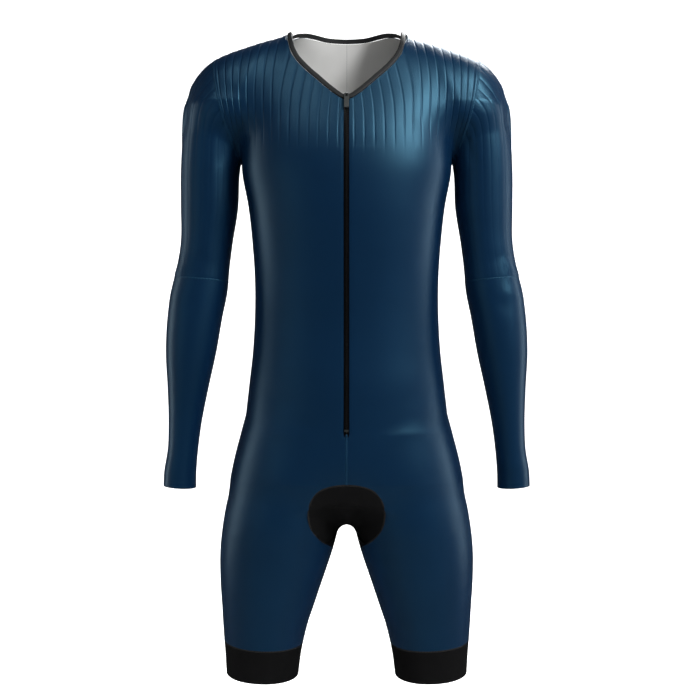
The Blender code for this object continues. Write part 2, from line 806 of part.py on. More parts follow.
def slider_body():
    """Block with rounded flanks: its side outline is extruded along X and drawn in at the ends.

    Outlines are (out, up) points. Out is away from the chest, which is -Y before the slider
    is turned to lie on it.
    """
    half = SLIDER_LENGTH / 2
    outline = [(-CLOTH, half - MM), (-CLOTH, MM - half), (0, -half), (SLIDER_RISE - MM, -half),
               (SLIDER_RISE, SLIDER_EDGE - half), (SLIDER_RISE, half - SLIDER_EDGE),
               (SLIDER_RISE - MM, half), (0, half)]
    sections = []
    for across, scale in ((-SLIDER_HALF, FLANK_SCALE), (FLANK - SLIDER_HALF, 1),
                          (SLIDER_HALF - FLANK, 1), (SLIDER_HALF, FLANK_SCALE)):
        sections.append([(across, -out * scale, up * scale) for out, up in outline])
    return loft(sections)


def arch_sections():
    """The slider's bridge, over the bar of the pull tab, from one foot to the other."""
    sections = []
    for turn in np.linspace(-90, 90, 9):
        turn = math.radians(turn)
        ray = np.array((math.cos(turn), math.sin(turn)))
        inner, outer = (np.array((HINGE_RISE, HINGE_UP)) + ray * radius
                        for radius in (BRIDGE_INSIDE, BRIDGE_INSIDE + BRIDGE_THICKNESS))
        sections.append((inner, outer))
    foot = SLIDER_RISE - BRIDGE_THICKNESS
    sections.insert(0, tuple(np.array((foot, point[1])) for point in sections[0]))
    sections.append(tuple(np.array((foot, point[1])) for point in sections[-1]))
    return [[(across, -point[0], point[1]) for across, point in
             ((-BRIDGE_HALF, inner), (BRIDGE_HALF, inner), (BRIDGE_HALF, outer),
              (-BRIDGE_HALF, outer))] for inner, outer in sections]


def make_slider(metal):
    """The slider, and its pull tab with its bar under the slider's bridge."""
    slider = add_object("zip_slider", slider_body(), metal)
    arch = add_object("bridge", loft(arch_sections()), metal)
    arch.hide_render = True
    arch.display_type = "WIRE"
    joined = slider.modifiers.new("bridge", "BOOLEAN")
    joined.operation = "UNION"
    joined.object = arch

    pull = add_object("zip_pull", pull_mesh(), metal)
    rounded = pull.modifiers.new("rounded edges", "BEVEL")
    rounded.width = PULL_ROUNDING
    rounded.segments = 2

    point = cast(body, SLIDER_MIDDLE * UP, FORWARD)
    facing = normals(body, point)
    place = (Matrix.Translation(point)
             @ Matrix.Rotation(-math.atan2(facing[2], -facing[1]), 4, "X"))
    slider.matrix_world = place
    arch.matrix_world = place
    pull.matrix_world = place @ Matrix.Translation((0, -HINGE_RISE, HINGE_UP))


def pull_mesh():
    """Flat tab with a window: its top bar lies on the hinge's axis, at the mesh's origin."""
    across = (-PULL_HALF, -WINDOW_HALF, WINDOW_HALF, PULL_HALF)
    half = PULL_THICKNESS / 2
    up = (half, -half, -half - WINDOW_HEIGHT, -PULL_LENGTH)
    mesh = bmesh.new()
    grid = [[mesh.verts.new((x, half, z)) for x in across] for z in up]
    cells = [(row, column) for row in range(3) for column in range(3) if (row, column) != (1, 1)]
    faces = [mesh.faces.new((grid[row][column], grid[row][column + 1],
                             grid[row + 1][column + 1], grid[row + 1][column]))
             for row, column in cells]
    made = bmesh.ops.extrude_face_region(mesh, geom=faces)
    moved = [item for item in made["geom"] if isinstance(item, bmesh.types.BMVert)]
    bmesh.ops.translate(mesh, verts=moved, vec=(0, -PULL_THICKNESS, 0))
    return mesh


def main():
    for old in list(bpy.data.objects):
        bpy.data.objects.remove(old)
    jersey = finish("navy jersey", (0.012, 0.05, 0.095), 0.45)
    ribbed = finish("ribbed navy jersey", (0.02, 0.09, 0.14), 0.38)
    elastic = finish("black elastic", (0.01, 0.01, 0.01), 0.6)
    coil = finish("black zip", (0.008, 0.008, 0.008), 0.4)
    metal = finish("dark zinc", (0.06, 0.065, 0.065), 0.35, metallic=0.8)
    make_panels(jersey)
    make_sleeves(ribbed, jersey)
    make_bands(elastic)
    make_insert(elastic)
    make_binding(elastic)
    make_zip(coil, coil)
    make_slider(metal)


main()
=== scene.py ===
"""Looks of a long-sleeved cycling skinsuit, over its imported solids.

Every cloth piece is a thin shell on the general figure that the solids follow. The figure and
its seams come first here, as in the part, then fine grids of points, then pieces, then light.
"""

import math

import bmesh
import bpy
import numpy as np
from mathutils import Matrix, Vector

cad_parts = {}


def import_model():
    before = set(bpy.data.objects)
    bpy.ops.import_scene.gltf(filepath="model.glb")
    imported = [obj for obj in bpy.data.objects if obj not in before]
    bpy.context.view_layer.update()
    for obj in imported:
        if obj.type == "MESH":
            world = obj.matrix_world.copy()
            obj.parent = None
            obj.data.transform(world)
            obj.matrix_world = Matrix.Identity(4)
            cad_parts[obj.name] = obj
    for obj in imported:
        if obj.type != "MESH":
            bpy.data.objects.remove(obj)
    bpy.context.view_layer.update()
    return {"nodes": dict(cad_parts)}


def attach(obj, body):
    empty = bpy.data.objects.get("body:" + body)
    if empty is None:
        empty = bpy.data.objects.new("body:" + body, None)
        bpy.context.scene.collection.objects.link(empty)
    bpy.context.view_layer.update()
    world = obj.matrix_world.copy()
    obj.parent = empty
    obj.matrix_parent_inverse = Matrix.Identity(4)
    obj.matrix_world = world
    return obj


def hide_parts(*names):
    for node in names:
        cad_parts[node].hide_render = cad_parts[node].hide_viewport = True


MM = 0.001
FRONT = -1
BACK = 1

# Figure: sections from the top down
TORSO = MM * np.array((
    # height, half width, front depth, back depth
    (60, 58, 36, 74),
    (13, 66, 42, 78),
    (-30, 100, 56, 87),
    (-75, 134, 74, 95),
    (-120, 151, 94, 101),
    (-165, 156, 108, 105),
    (-204, 156, 113, 106),
    (-258, 146.5, 112, 101),
    (-312, 140.5, 106, 92),
    (-366, 137, 99, 84),
    (-420, 137, 95, 81),
    (-474, 140, 95, 85),
    (-528, 146, 98, 96),
    (-582, 151, 98, 106),
    (-636, 148, 96, 114),
    (-690, 142, 84, 112),
))
SHOULDER = MM * np.array((
    # across, top height, front depth, back depth
    (0, 6, 66, 84),
    (60, 4, 66, 82),
    (89, -3, 66, 78),
    (120, -10.2, 65, 72),
    (150, -19.8, 63, 66),
    (175, -28.5, 60, 61),
    (200, -40.5, 51, 51),
    (218, -56, 39, 39),
    (230, -74, 25, 25),
    (236, -92, 12, 12),
))
ARM = MM * np.array((
    # height, middle across, half width, front depth, back depth
    (-110, 186, 48, 52, 54),
    (-150, 197, 47, 50, 52),
    (-204, 204.2, 43.8, 46, 49),
    (-258, 205.6, 42.5, 42, 47),
    (-312, 210, 38.5, 38, 45),
    (-348, 215.2, 39.2, 37, 46),
    (-384, 221.2, 42, 38, 46),
    (-420, 227.2, 40.8, 39, 43),
    (-474, 233.2, 37.4, 38, 37),
    (-528, 237.7, 30.2, 34, 29),
    (-582, 242.2, 24.2, 30, 22),
    (-618, 245.2, 22.5, 29, 19),
    (-654, 249.4, 23.8, 30, 19),
    (-690, 250, 24.2, 31, 19),
))
LEG = MM * np.array((
    # height, middle across, half width, front depth, back depth
    (-590, 74, 62, 70, 78),
    (-640, 81, 78, 83, 97),
    (-690, 89.3, 87.7, 90, 104),
    (-732, 98, 87, 90, 100),
    (-762, 103.5, 84.8, 86, 95),
    (-816, 112.5, 75.8, 79, 86),
    (-852, 117.4, 68.6, 74, 79),
    (-888, 122.2, 61.6, 69, 73),
    (-924, 124.6, 56.4, 65, 68),
    (-962, 126, 53, 62, 64),
))
TORSO_POWER = 2.35              # 2 is an ellipse; more is squarer
LIMB_POWER = 2.1
SHOULDER_MIDDLE = -112 * MM     # height of the middle of the shoulder sections
SHOULDER_LOWER = 52 * MM        # their reach below it
PELVIS_CENTRE = MM * np.array((0, 12, -640))
PELVIS_RADII = MM * np.array((150, 98, 92))

# Joins of the tubes: how softly the valley is filled, and how that grows with height
TORSO_BLEND = 30 * MM
ARMPIT = -190 * MM
ARMPIT_ACROSS = 157.5 * MM
ARMPIT_BLEND = (5 * MM, 30 * MM)
CROTCH = -732 * MM
CROTCH_BLEND = (12 * MM, 40 * MM)
BLEND_GAIN = 0.4
REACH = 0.3                     # longest ray from inside the figure to its surface
RAY_TRIALS = 31                 # places tried along a ray before it is halved in on
RAY_HALVINGS = 14

# Seams
CHEST_RING = -192 * MM          # under the arms, where the upright ribs of points begin
NECK_EDGE = MM * np.array((
    # across, height: the front neckline seam, from the zip to the shoulder
    (0, -118),
    (8, -115),
    (16, -109.5),
    (30.5, -97),
    (45, -83),
    (59.5, -69),
    (71.5, -54.7),
    (80.5, -39),
    (85.5, -22),
    (88, -2),
))
BACK_NECK_EDGE = MM * np.array((
    # the back neckline seam, from the middle to the shoulder
    (0, 10.3),
    (30, 10.6),
    (50, 11.2),
    (62, 9.5),
    (75, 5),
    (84, 1),
    (88, -2),
))
NECK_SIDE = 88 * MM             # the neckline crosses the shoulder seam here
SHOULDER_END = 196 * MM         # the shoulder seam meets the armhole here
RIB_BOW = 7 * MM                # the ribs bow out this far below the shoulder
ZIP_SLIT = 3.9 * MM             # half the space between the fronts along the zip
ZIP_END = -590 * MM
ELBOW = -369 * MM
CUFF = -677 * MM
FOREARM_TILT = math.radians(4.5)
INSERT_SIDE = (-652 * MM, -752 * MM)        # side seam heights level with the insert
HIP_HEIGHTS = (-640 * MM, -618 * MM, -597 * MM)     # rows between the insert and the zip
BAND_TOP = (-907.5 * MM, -901.5 * MM)       # heights of a seam's inner and outer point
BAND_HEM = (-955 * MM, -950 * MM)

SLEEVE_CUTS = np.array((
    # height of the underarm point in millimetres, tilt of the cut in degrees
    (-193.5, 63),
    (-198, 51),
    (-205, 40),
    (-214, 30),
    (-227, 22),
    (-245, 15),
    (-268, 10),
    (-294, 7),
    (-320, 5.5),
    (-345, 4.5),
    (-369, 4.5),
))
INSERT_AXIS = MM * np.array((0, 0, -640))
INSERT_EDGE = np.array((
    # share of a quarter, half width in millimetres, turn down from the front in degrees
    (0.000, 0, 13.0),
    (0.125, 20, 14.0),
    (0.250, 37, 17.5),
    (0.375, 48, 24.0),
    (0.500, 54, 35.0),
    (0.625, 51, 47.0),
    (0.750, 41, 56.0),
    (0.875, 30, 66.0),
    (1.000, 20.5, 90.0),
))

SEAM = 0.3 * MM                 # space between two pieces
SHARP = math.radians(40)        # edges that turn more than this stay sharp
BINDING_SECTION = MM * np.array((
    # distance into the opening from the seam, and height over the cloth's face
    (0.5, -1.2),
    (0.5, 0.2),
    (0.9, 0.7),
    (1.7, 1.0),
    (3.0, 1.1),
    (5.4, 1.05),
    (6.9, 0.8),
    (7.6, 0.3),
    (7.8, -0.4),
    (7.5, -1.2),
))
BINDING_MIDDLE = 2              # the point of the section that the length is measured along
CHAIN_TOP = -117.8 * MM
CHAIN_END = -583 * MM
SUIT = "suit"
SIDES = (("left", False), ("right", True))    # name, and whether it is mirrored

# Knots of the pieces, and fine rows and columns between two knots
NECK_COLUMNS = {FRONT: 14, BACK: 6}         # from the middle to the side of the neck
SHOULDER_COLUMNS = {FRONT: 16, BACK: 6}     # from there to the armhole
FAN_ROWS = 12
LEG_ROWS = 5
TORSO_ROWS = 14
INSERT_SEGMENTS = 8
NECKLINE_STEP = 0.09            # longest share of the neckline between two points
NECKLINE_TRIALS = 60
CUT_TRIALS = 25                 # rough points that a cut is measured with
SLEEVE_COLUMNS = 2 * FAN_ROWS
FOREARM_ROWS = 9
BAND_ROWS = 5
RING_COLUMNS = 12
FINE_ROWS = 5
FINE_COLUMNS = {FRONT: 8, BACK: 6}
SLEEVE_FINE = (6, 6)            # rows, columns
FOREARM_FINE = (6, 4)
BAND_FINE = (6, 6)
INSERT_FINE = (4, 4)
LINE_FINE = 4                   # points of a seam band or binding
INSERT_RINGS = (1, 0.85, 0.7, 0.5, 0.3, 0.15, 0.03)
ARM_SIDE = 160 * MM             # rings whose middle is further out belong to an arm
ARM_INSIDE = 20 * MM            # from an arm's inner face to a place surely inside it
MOST_OFF = 3 * MM               # most that a fine point is moved onto the figure
RING_ZONE = 1 * MM              # points this near the chest ring stay where they are
LOST = 0.9                      # cosine below which the figure's own normal is taken

# Relief of the cloth, in metres from its face
SHOWN_CLOTH = 1.5 * MM          # thickness
RIB_DEPTH = 0.6 * MM
CROWN = 0.1 * MM                # how far a rib's middle stands over its sides
RIB_START = 1.0                 # rows under the chest ring where the ribs begin to rise
RIB_RISE = 5.0                  # rows until they stand at their full depth
GROOVE_HALF = 0.27              # half a groove's width, in columns
SLEEVE_RIB = 0.8                # share of their depth at the armhole
SLEEVE_RIB_FADE = 0.84          # how it falls from row to row
SEAM_DIP = 0.3 * MM             # the cloth sinks this far into its seams
PANEL_DIP_WIDTH = 0.6           # in columns
SLEEVE_DIP_WIDTH = 0.15         # in rows
HEM_LINE = 0.9                  # share down the leg band
HEM_DIP = 0.25 * MM
HEM_WIDTH = 0.05
# across and height in millimetres
SEAM_PROFILE = ((-1.2, -0.6), (-1.2, -0.05), (-0.8, 0.15), (0.8, 0.15), (1.2, -0.05), (1.2, -0.6))
BED_PROFILE = ((-2.4, -1.2), (-2.4, -0.1), (2.4, -0.1), (2.4, -1.2))
BED_POINTS = 90
TOOTH_PITCH = 1.3 * MM
TOOTH = (
    # millimetres across, half length along the zip, lowest and highest height
    (3.0, 0.36, -0.3, 0.25),
    (1.2, 0.4, -0.2, 0.6),
    (-0.7, 0.42, -0.2, 0.62),
    (-0.9, 0.3, -0.1, 0.4),
)
# side (-1 front, 1 back, 0 both), line across and up in millimetres, width and height of fold
PANEL_FOLDS = (
    (0, 128, -32, 176, -150, 10, 1.2),
    (-1, 60, -560, 128, -520, 14, -0.8),
    (-1, 50, -600, 120, -575, 12, 0.8),
    (-1, 40, -680, 110, -640, 14, 0.9),
)
SLEEVE_FOLDS = (
    (-1, 176, -160, 186, -205, 7, -1.4),
    (0, 236, -345, 258, -362, 8, 1.3),
    (0, 200, -345, 236, -330, 9, -0.8),
)
FOREARM_FOLDS = (
    (0, 224, -385, 262, -392, 8, 0.9),
    (0, 215, -400, 240, -412, 9, -0.8),
    (0, 232, -640, 268, -650, 8, 0.4),
)

# Finishes
NAVY = (0.0014, 0.0115, 0.037)
PALE = (0.6, 0.6, 0.59)
BLACK = (0.0035, 0.0035, 0.0038)
BINDING = (0.012, 0.013, 0.014)
WAVE_UNIT = 0.314159            # scale of a wave texture that repeats once in a metre
KNIT_STRENGTH = 0.35
COURSE_SHARE = 0.7              # courses to one wale
CLOUD_SCALE = 9
CLOUD_DETAIL = 3
CLOUD_RANGE = (0.35, 0.65)
STITCH_PITCH = 0.0022
STITCH_DEPTH = 0.0003
STITCH_STRENGTH = 0.6
SHINE = {"Specular_IOR_Level": 0.5, "Specular_Tint": (0.25, 0.72, 1, 1)}
SATIN = {"Specular_IOR_Level": 0.2}
DULL = {"Specular_IOR_Level": 0.08}
KNITS = (
    # key, name, colour, roughness, shader values, (pitch and depth in metres, change of tone)
    ("jersey", "navy_jersey", NAVY, 0.4, SHINE, (0.0007, 0.00012, 0.05)),
    ("ribbed", "ribbed_jersey", NAVY, 0.4, SHINE, (0.0007, 0.00012, 0.05)),
    ("inside", "pale_inside", PALE, 0.8, SATIN, (0.0007, 0.0001, 0.03)),
    ("elastic", "black_elastic", BLACK, 0.62, DULL, (0.0016, 0.0002, 0.1)),
    ("insert", "black_insert", BLACK, 0.7, DULL, (0.0009, 0.0001, 0.1)),
    ("binding", "binding_elastic", BINDING, 0.5, SATIN, (0.0008, 0.0002, 0.1)),
    ("tape", "zip_tape_cloth", (0.003, 0.003, 0.0035), 0.7, DULL, (0.0008, 0.0001, 0.1)),
    ("coil", "zip_coil", (0.004, 0.004, 0.0045), 0.35, SATIN, (0.002, 0.0001, 0.1)),
    ("metal", "dark_zinc", (0.045, 0.05, 0.05), 0.38, {"Metallic": 0.6}, (0.004, 0.00005, 0.15)),
)
STITCHES = (
    # key, name, colour, roughness, shader values, lowest and highest colour
    ("seam", "navy_seam", NAVY, 0.5, SHINE, (0.0015, 0.009, 0.028), (0.0035, 0.026, 0.065)),
    ("black_seam", "black_seam", BLACK, 0.6, DULL, (0.003, 0.003, 0.003), (0.02, 0.02, 0.02)),
)

# Stage
FLOOR = -1.02
FLOOR_START = -1.0              # its near edge
WALL = 4.2                      # how far back the floor has turned upright
WALL_BEND = 0.8
WALL_TOP = 6.5
WALL_HALF = 10.0
FLOOR_GREY = 0.9
FLOOR_GLOW = 1.0
WORLD = 0.03
SENSOR = 36
CAMERA_DISTANCE = 1.55
CAMERA_HALF_VIEW = 0.525
CAMERA_ACROSS = 0.005
CAMERA_HEIGHT = -0.471
LIGHTS = (
    # name, place, aim, size, power
    ("key", (1.25, -1.1, 0.85), (0.05, 0, -0.2), (0.6, 0.8), 48),
    ("fill", (-1.7, -1.7, -0.2), (0, 0, -0.5), (1.0, 1.2), 3),
    ("top", (0.45, 0.95, 1.0), (0.05, 0, 0), (0.9, 0.5), 30),
    ("shoulder", (-0.5, -0.9, 1.2), (-0.1, 0, -0.05), (0.5, 0.4), 7),
    ("side_left", (-1.7, 0.25, -0.3), (-0.2, 0, -0.4), (0.3, 1.6), 7),
    ("side_right", (1.7, 0.25, -0.3), (0.2, 0, -0.4), (0.3, 1.6), 9),
)

UP = np.array((0.0, 0.0, 1.0))
ACROSS = np.array((1.0, 0.0, 0.0))
FORWARD = np.array((0.0, -1.0, 0.0))


# ---------------- the general figure

def section_at(table, at):
    """The other columns of a table at values of its first, on smooth curves."""
    rows = table if table[0, 0] < table[-1, 0] else table[::-1]
    knots = rows[:, 0]
    slopes = np.gradient(rows[:, 1:], knots, axis=0)
    at = np.clip(at, knots[0], knots[-1])
    low = np.clip(np.searchsorted(knots, at) - 1, 0, len(knots) - 2)
    step = (knots[low + 1] - knots[low])[..., None]
    t = (at - knots[low])[..., None] / step
    rise = rows[low + 1, 1:] - rows[low, 1:]
    start, end = slopes[low] * step, slopes[low + 1] * step
    curve = rows[low, 1:] + t * (start + t * (3 * rise - 2 * start - end))
    curve += t ** 3 * (start + end - 2 * rise)
    return np.moveaxis(curve, -1, 0)


def outside_section(across, along, half_width, half_depth, power):
    """Distance outside a rounded section, straight out from its middle."""
    reach = np.hypot(across, along)
    ratio = (np.abs(across) / half_width) ** power + (np.abs(along) / half_depth) ** power
    ratio = np.maximum(ratio, 1e-9) ** (1 / power)
    return reach - reach / ratio


def soft_union(a, b, blend):
    """The smaller distance, with the valley where they meet filled in."""
    lap = np.maximum(blend - np.abs(a - b), 0)
    return np.minimum(a, b) - lap * lap / (4 * blend)


def torso(x, y, z):
    half_width, front, back = section_at(TORSO, z)
    distance = outside_section(x, y, half_width, np.where(y < 0, front, back), TORSO_POWER)
    return np.maximum(distance, TORSO[-1, 0] - z)


def shoulder(x, y, z):
    top, front, back = section_at(SHOULDER, x)
    rise = z - SHOULDER_MIDDLE
    reach = np.where(rise > 0, top - SHOULDER_MIDDLE, SHOULDER_LOWER)
    distance = outside_section(y, rise, np.where(y < 0, front, back), reach, LIMB_POWER)
    return np.maximum(distance, x - SHOULDER[-1, 0])


def limb(table, x, y, z):
    middle, half_width, front, back = section_at(table, z)
    depth = np.where(y < 0, front, back)
    distance = outside_section(x - middle, y, half_width, depth, LIMB_POWER)
    return distance + np.maximum(z - table[0, 0], 0)


def pelvis(x, y, z):
    scaled = (np.stack((x, y, z), axis=-1) - PELVIS_CENTRE) / PELVIS_RADII
    return (np.linalg.norm(scaled, axis=-1) - 1) * PELVIS_RADII[2]


def blend_at(z, join, limits):
    return np.clip(limits[0] + BLEND_GAIN * (z - join), *limits)


def shoulders(x, y, z):
    """Chest, back, shoulders and upper arms in one."""
    trunk = soft_union(torso(x, y, z), shoulder(x, y, z), TORSO_BLEND)
    return soft_union(trunk, limb(ARM, x, y, z), blend_at(z, ARMPIT, ARMPIT_BLEND))


def folded(points):
    """Coordinates of points, with the right side folded onto the left."""
    return np.abs(points[..., 0]), points[..., 1], points[..., 2]


def body(points):
    """Distance outside the torso and legs; under the armpits the arms don't count."""
    x, y, z = folded(points)
    hips = soft_union(torso(x, y, z), pelvis(x, y, z), TORSO_BLEND)
    legs = soft_union(hips, limb(LEG, x, y, z), blend_at(z, CROTCH, CROTCH_BLEND))
    return np.where(z > CHEST_RING, shoulders(x, y, z), legs)


def chest(points):
    """Distance outside the chest and shoulders, cut off at the chest ring."""
    x, y, z = folded(points)
    return np.maximum(shoulders(x, y, z), CHEST_RING - z)


def arms(points):
    """Distance outside the shoulders and arms; under the armpits the torso doesn't count."""
    x, y, z = folded(points)
    return np.where(z > CHEST_RING, shoulders(x, y, z), limb(ARM, x, y, z))


def cast(surface, starts, directions):
    """Where rays from inside the figure first leave it."""
    starts, directions = np.broadcast_arrays(starts, directions)
    steps = np.linspace(0, REACH, RAY_TRIALS)
    trial = starts[..., None, :] + steps[:, None] * directions[..., None, :]
    outside = surface(trial) > 0
    outside[..., -1] = True
    first = np.argmax(outside, axis=-1)
    near, far = steps[first - 1], steps[first]
    for _ in range(RAY_HALVINGS):
        middle = (near + far) / 2
        outside = surface(starts + middle[..., None] * directions) > 0
        near, far = np.where(outside, near, middle), np.where(outside, middle, far)
    return starts + near[..., None] * directions


def normals(surface, points):
    step = 0.5 * MM
    slope = [surface(points + step * axis) - surface(points - step * axis) for axis in np.eye(3)]
    slope = np.stack(slope, axis=-1)
    return slope / np.linalg.norm(slope, axis=-1, keepdims=True)


# ---------------- curves on the figure

def even(points, count):
    """Places from 0 to 1 along a line of points that divide its length evenly."""
    lengths = np.linalg.norm(np.diff(points, axis=0), axis=1)
    run = np.concatenate(((0,), np.cumsum(lengths)))
    return np.interp(np.linspace(0, run[-1], count + 1), run, np.linspace(0, 1, len(points)))


def cut_row(surface, start, end, side, count, bow=0.0):
    """Even points from one seam point to another, round the front or the back.

    They lie in the cut that holds both points and runs from front to back, apart from a bow
    that swells across it.
    """
    along = (end - start) * (1, 0, 1)
    along = along / np.linalg.norm(along)
    out = -side * FORWARD
    centre = (start + end) / 2 * (1, 0, 1)
    turns = [math.atan2(np.dot(point - centre, out), np.dot(point - centre, along))
             for point in (start, end)]
    turns[0] %= 2 * math.pi

    def at(shares):
        turn = (turns[0] + (turns[1] - turns[0]) * shares)[:, None]
        swell = bow * np.sin(math.pi * shares)[:, None] * ACROSS
        return cast(surface, centre + swell, np.cos(turn) * along + np.sin(turn) * out)

    return at(even(at(np.linspace(0, 1, CUT_TRIALS)), count))


def side_point(height):
    """On the side seam."""
    return cast(body, np.array((100 * MM, 0, height)), ACROSS)


def inseam_point(height):
    middle = section_at(LEG, np.array(height))[0]
    return cast(body, np.array((middle, 0, height)), -ACROSS)


def centre_point(height, side):
    """On the edge along the zip, the centre-front seam or the centre-back seam."""
    slit = ZIP_SLIT if side == FRONT and height > ZIP_END - SEAM else 0
    return cast(body, np.array((slit, 0, height)), -side * FORWARD)


def insert_point(across, turn):
    turn = math.radians(turn)
    start = INSERT_AXIS + across * ACROSS
    return cast(body, start, math.cos(turn) * FORWARD - math.sin(turn) * UP)


def insert_edge_point(share, side):
    """On the insert's edge, from the middle of the front or seat to the inner leg."""
    half_width, turn = section_at(INSERT_EDGE, np.array(share))
    return insert_point(half_width * MM, turn if side == FRONT else 180 - turn)


def shoulder_point(across):
    """On the shoulder seam."""
    return cast(body, across * ACROSS + SHOULDER_MIDDLE * UP, UP)


def neck_points(across, side):
    """On the neckline seam."""
    height = section_at(NECK_EDGE if side == FRONT else BACK_NECK_EDGE, across)[0]
    middle = across[:, None] * ACROSS + SHOULDER_MIDDLE * UP
    highest = cast(body, middle, UP)[:, 2] - SEAM
    start = across[:, None] * ACROSS + np.minimum(height, highest)[:, None] * UP
    return cast(body, start, -side * FORWARD)


def neckline(side):
    """Column numbers, some of them between columns, and points of the neckline seam."""
    columns = NECK_COLUMNS[side]
    start = ZIP_SLIT if side == FRONT else 0
    trial = np.linspace(start, NECK_SIDE - SEAM, NECKLINE_TRIALS)
    line = np.append(neck_points(trial, side), [shoulder_point(NECK_SIDE)], axis=0)
    run = np.cumsum(np.linalg.norm(np.diff(line, axis=0, prepend=line[:1]), axis=1))
    run /= run[-1]
    marks = np.linspace(0, 1, columns + 1)
    if side == FRONT:
        marks = np.interp(np.linspace(start, NECK_SIDE, columns + 1), line[:, 0], run)
    numbers, shares = [0.0], [0.0]
    for column in range(columns):
        gap = marks[column + 1] - marks[column]
        parts = math.ceil(gap / NECKLINE_STEP)
        numbers += [column + (part + 1) / parts for part in range(parts)]
        shares += [marks[column] + gap * (part + 1) / parts for part in range(parts)]
    points = np.stack([np.interp(shares, run, line[:, axis]) for axis in range(3)], axis=-1)
    return numbers, points


def armhole_ends():
    """Top of the armhole seam, and its lowest point under the arm."""
    above = np.array((ARMPIT_ACROSS, 0, SHOULDER_MIDDLE))
    return shoulder_point(SHOULDER_END), cast(chest, above, -UP)


def armhole(side, count):
    """The armhole seam, from under the arm to the shoulder."""
    top, bottom = armhole_ends()
    return cut_row(chest, bottom, top, side, count, RIB_BOW)


# ---------------- nets of points

def spread(knots, factor, breaks=(), level=()):
    """Points on smooth curves through the knots, with corners at the breaks.

    The curve comes straight across to the knots that level names.
    """
    slopes = np.gradient(knots, axis=0)
    before, after = slopes.copy(), slopes.copy()
    for number in breaks:
        before[number] = knots[number] - knots[number - 1]
        after[number] = knots[number + 1] - knots[number]
    for number in level:
        before[number] *= ACROSS
    at = np.arange((len(knots) - 1) * factor + 1) / factor
    low = np.minimum(at.astype(int), len(knots) - 2)
    t = (at - low).reshape((-1,) + (1,) * (knots.ndim - 1))
    rise, start, end = knots[low + 1] - knots[low], after[low], before[low + 1]
    return (knots[low] + t * (start + t * (3 * rise - 2 * start - end))
            + t ** 3 * (start + end - 2 * rise))


def spread_ring(knots, factor):
    """The same on a closed line, whose last point isn't the first again."""
    padded = np.concatenate((knots[-3:], knots, knots[:3]))
    return spread(padded, factor)[3 * factor:(3 + len(knots)) * factor]


def settled(surface, points):
    """Points moved onto the figure, apart from those at the chest ring, where it has a step."""
    for _ in range(2):
        off = np.clip(surface(points), -MOST_OFF, MOST_OFF)
        off[np.abs(points[..., 2] - CHEST_RING) < RING_ZONE] = 0
        points = points - normals(surface, points) * off[..., None]
    return points


def panel_net(side):
    """Rows of knots of a front or back half, from the leg band to the neck and shoulder."""
    necks, total = NECK_COLUMNS[side], NECK_COLUMNS[side] + SHOULDER_COLUMNS[side]
    shares = np.linspace(0, 1, LEG_ROWS + 1)[:-1, None]
    start, end = np.array(BAND_TOP), np.array((insert_edge_point(1, side)[2], INSERT_SIDE[1]))
    ends = [(inseam_point(inner), side_point(outer))
            for inner, outer in start + shares * (end - start)]
    for share in np.linspace(1, 0, INSERT_SEGMENTS + 1):
        height = INSERT_SIDE[0] + share * (INSERT_SIDE[1] - INSERT_SIDE[0])
        ends.append((insert_edge_point(share, side), side_point(height)))
    heights = HIP_HEIGHTS + tuple(np.linspace(ZIP_END, CHEST_RING, TORSO_ROWS + 1))
    ends += [(centre_point(height, side), side_point(height)) for height in heights]
    rows = [cut_row(body, inner, outer, side, total) for inner, outer in ends]
    rows[-1][-1] = armhole_ends()[1]
    numbers, neck = neckline(side)
    shoulder_seam = [shoulder_point(across) for across in
                     np.linspace(NECK_SIDE, SHOULDER_END, total - necks + 1)]
    tops = [neck[numbers.index(column)] for column in range(necks)] + shoulder_seam
    columns = []
    for column, (low, top) in enumerate(zip(rows[-1][:-1], tops[:-1])):
        columns.append(cut_row(chest, low, top, side, FAN_ROWS,
                               RIB_BOW * min(1, column / necks)))
    columns.append(armhole(side, FAN_ROWS))
    return np.array(rows), np.stack(columns, axis=1)[1:]


def fine_panel(side):
    """Fine grid of a panel, with the row and column numbers of the knots it lies between."""
    lower, fan = panel_net(side)
    knots = np.concatenate((lower, fan))
    necks = NECK_COLUMNS[side]
    corners = (LEG_ROWS, LEG_ROWS + INSERT_SEGMENTS, len(lower) - 1)
    last = knots.shape[1] - 1
    lines = [spread(knots[:, column], FINE_ROWS, corners if column in (0, last) else (),
                    corners[1:2] if column == 0 else ()) for column in range(last + 1)]
    lines = np.stack(lines, axis=1)
    factor = FINE_COLUMNS[side]
    smooth = spread(lines.swapaxes(0, 1), factor).swapaxes(0, 1)
    cornered = spread(lines.swapaxes(0, 1), factor, (necks,)).swapaxes(0, 1)
    rows = np.arange(smooth.shape[0]) / FINE_ROWS - (len(lower) - 1)
    columns = np.arange(smooth.shape[1]) / factor
    corner = np.clip(rows / FAN_ROWS, 0, 1)[:, None, None] ** 4
    return smooth + corner * (cornered - smooth), rows, columns


def ring_net(surface, ends, count):
    rings = []
    for inner, outer, bow in ends:
        front, back = (cut_row(surface, inner, outer, side, count, bow) for side in (FRONT, BACK))
        rings.append(np.concatenate((front[:-1], back[:0:-1])))
    return np.array(rings)


def sleeve_end(height, tilt):
    """Inner and outer points of a sleeve ring."""
    middle = section_at(ARM, np.array(height))[0]
    inner = cast(arms, np.array((middle, 0, height)), -ACROSS)
    along = math.cos(tilt) * ACROSS + math.sin(tilt) * UP
    return inner, cast(arms, inner + ARM_INSIDE * along, along)


